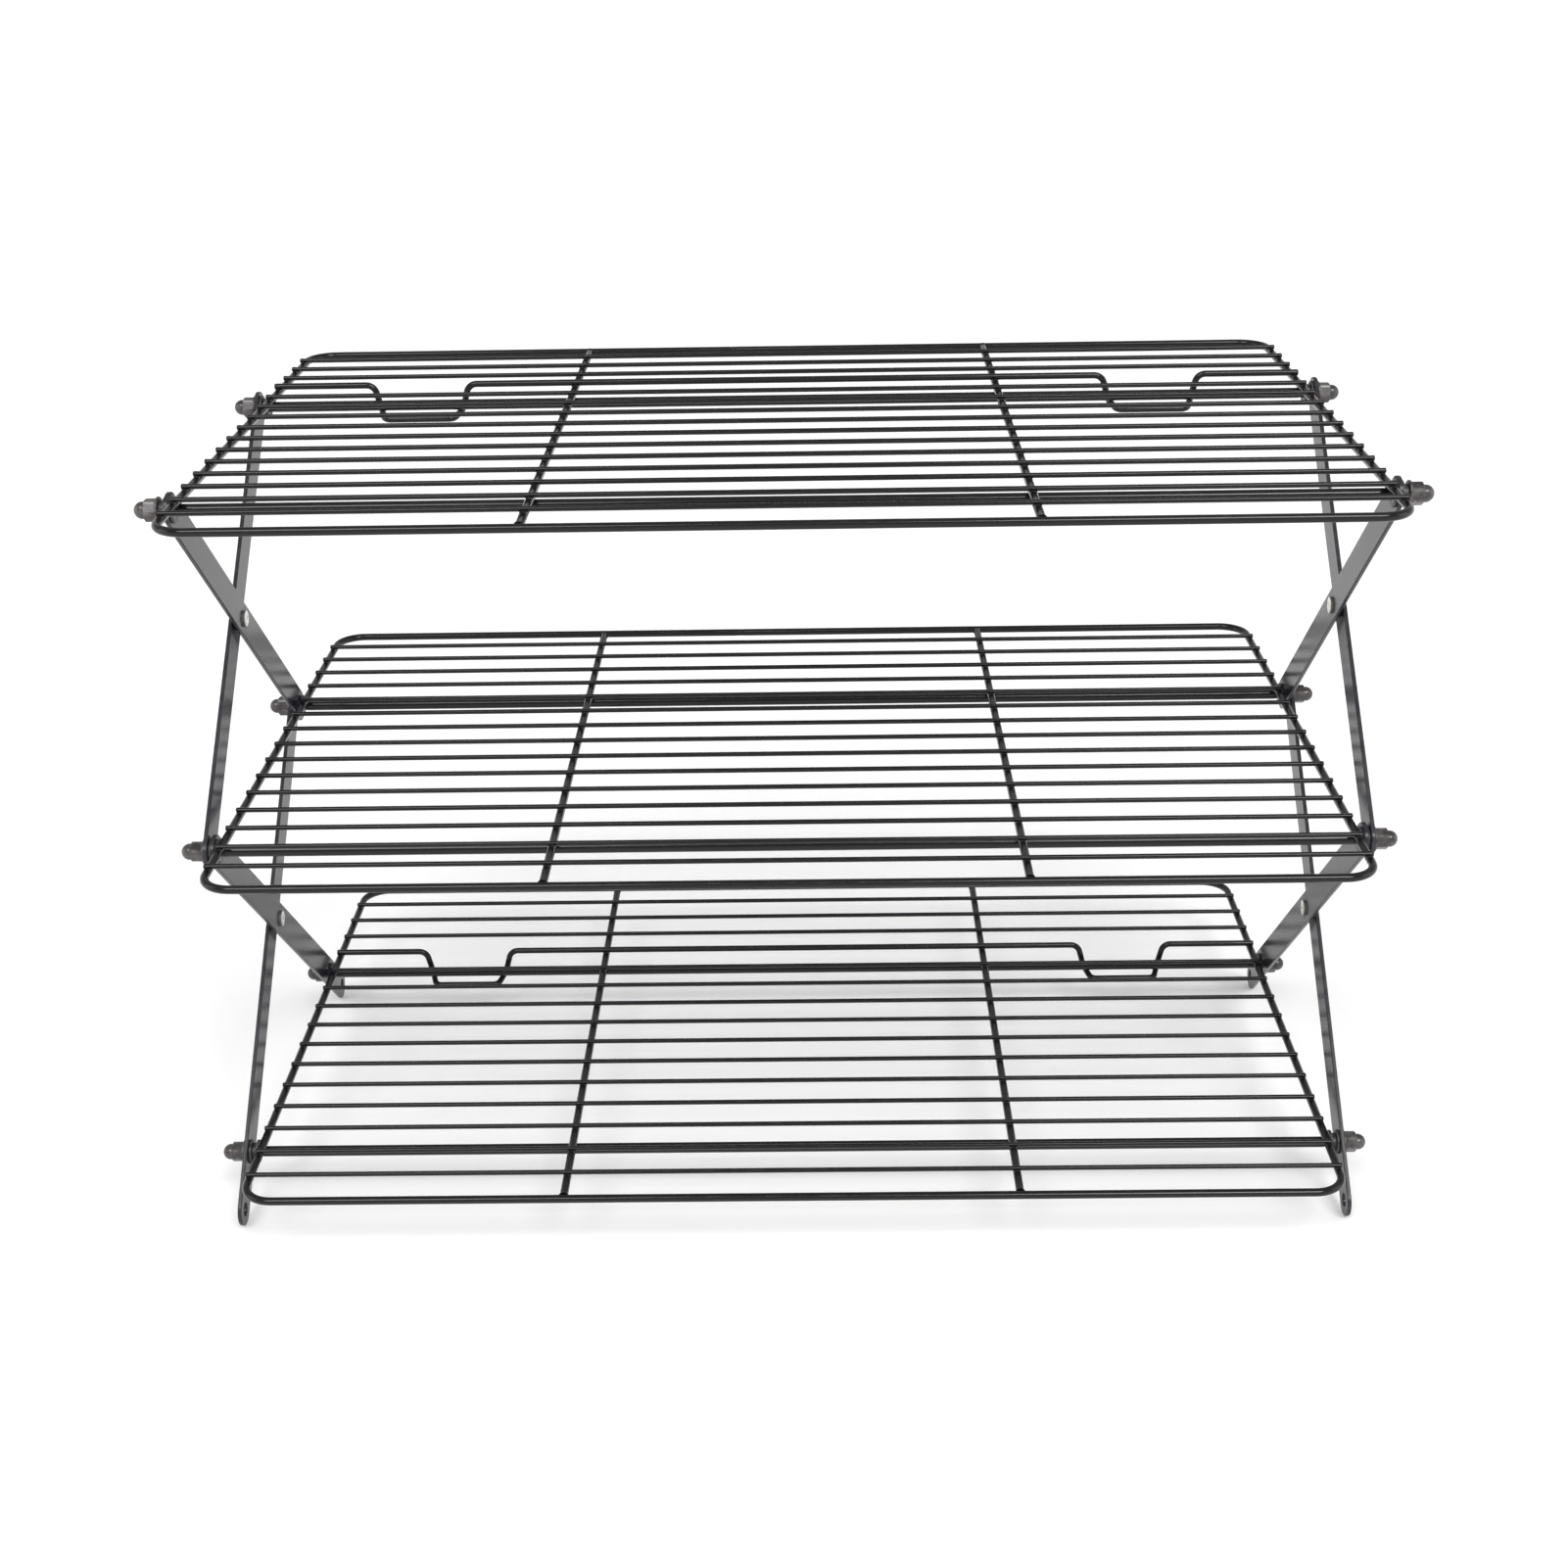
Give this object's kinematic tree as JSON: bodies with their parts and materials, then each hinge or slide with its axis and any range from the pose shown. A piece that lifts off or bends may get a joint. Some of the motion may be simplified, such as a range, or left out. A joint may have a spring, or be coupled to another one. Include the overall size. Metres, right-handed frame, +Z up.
{
  "type": "folding cooling rack",
  "caption": "Folding wire rack for cooling baked goods, with stacked wire shelves carried by scissor arms that fold flat.",
  "frame": {"origin": "middle of the rack's bounding box, at the height of the feet", "axes": "+X along the shelves' long sides, +Y from front to back, +Z up"},
  "size_m": [0.4284, 0.254, 0.2783],
  "materials": {
    "coated_wire": "semi-gloss black coating",
    "coated_rod": "semi-gloss black coating",
    "arm_coating": "satin charcoal coating",
    "cap_nut": "matt dark coating",
    "washer": "satin dark coating",
    "rivet_steel": "dull, slightly tarnished"
  },
  "bodies": {
    "bottom_shelf": {"bottom_shelf_frame": "coated_wire", "bottom_stay_left": "coated_wire", "bottom_stay_right": "coated_wire", "bottom_cross_wires": "coated_wire", "bottom_latch_wire": "coated_wire", "bottom_back_rod": "coated_rod", "bottom_back_washers": "washer", "bottom_back_nuts": "cap_nut"},
    "lower_inner_arms": {"middle_front_rod": "coated_rod", "middle_front_washers": "washer", "middle_front_nuts": "cap_nut", "lower_inner_arm_left": "arm_coating", "lower_inner_arm_right": "arm_coating", "lower_rivet_left": "rivet_steel", "lower_rivet_right": "rivet_steel", "lower_rivet_washers": "washer"},
    "lower_outer_arms": {"bottom_front_rod": "coated_rod", "bottom_front_washers": "washer", "bottom_front_nuts": "cap_nut", "bottom_front_spacers": "washer", "lower_outer_arm_left": "arm_coating", "lower_outer_arm_right": "arm_coating"},
    "middle_shelf": {"middle_shelf_frame": "coated_wire", "middle_stay_left": "coated_wire", "middle_stay_right": "coated_wire", "middle_cross_wires": "coated_wire", "middle_back_rod": "coated_rod", "middle_back_washers": "washer", "middle_back_nuts": "cap_nut"},
    "upper_inner_arms": {"top_front_rod": "coated_rod", "top_front_washers": "washer", "top_front_nuts": "cap_nut", "top_front_spacers": "washer", "upper_inner_arm_left": "arm_coating", "upper_inner_arm_right": "arm_coating", "upper_rivet_left": "rivet_steel", "upper_rivet_right": "rivet_steel", "upper_rivet_washers": "washer"},
    "upper_outer_arms": {"upper_outer_arm_left": "arm_coating", "upper_outer_arm_right": "arm_coating"},
    "top_shelf": {"top_shelf_frame": "coated_wire", "top_stay_left": "coated_wire", "top_stay_right": "coated_wire", "top_cross_wires": "coated_wire", "top_latch_wire": "coated_wire", "top_back_rod": "coated_rod", "top_back_washers": "washer", "top_back_nuts": "cap_nut", "top_back_spacers": "washer"}
  },
  "joints": [
    {"name": "fold", "type": "hinge", "parent": "bottom_shelf", "child": "lower_inner_arms", "pos_m": [0, 0.053, 0.02065], "axis": [1, 0, 0], "range_deg": [0, 35]},
    {"name": "lower_crossing", "type": "hinge", "parent": "lower_inner_arms", "child": "lower_outer_arms", "pos_m": [0, -0.017, 0.08315], "axis": [1, 0, 0], "range_deg": [-70, 0]},
    {"name": "middle_shelf_pivot", "type": "hinge", "parent": "lower_outer_arms", "child": "middle_shelf", "pos_m": [0, 0.053, 0.14565], "axis": [1, 0, 0], "range_deg": [0, 35]},
    {"name": "upper_inner_pivot", "type": "hinge", "parent": "middle_shelf", "child": "upper_inner_arms", "pos_m": [0, 0.053, 0.14565], "axis": [1, 0, 0], "range_deg": [0, 35]},
    {"name": "upper_crossing", "type": "hinge", "parent": "upper_inner_arms", "child": "upper_outer_arms", "pos_m": [0, -0.017, 0.20815], "axis": [1, 0, 0], "range_deg": [-70, 0]},
    {"name": "top_shelf_pivot", "type": "hinge", "parent": "upper_outer_arms", "child": "top_shelf", "pos_m": [0, 0.053, 0.27065], "axis": [1, 0, 0], "range_deg": [0, 35]}
  ],
  "couplings": [
    {"joint": "lower_crossing", "follows": "fold", "ratio": -2},
    {"joint": "middle_shelf_pivot", "follows": "fold", "ratio": 1},
    {"joint": "upper_inner_pivot", "follows": "fold", "ratio": 1},
    {"joint": "upper_crossing", "follows": "fold", "ratio": -2},
    {"joint": "top_shelf_pivot", "follows": "fold", "ratio": 1}
  ]
}
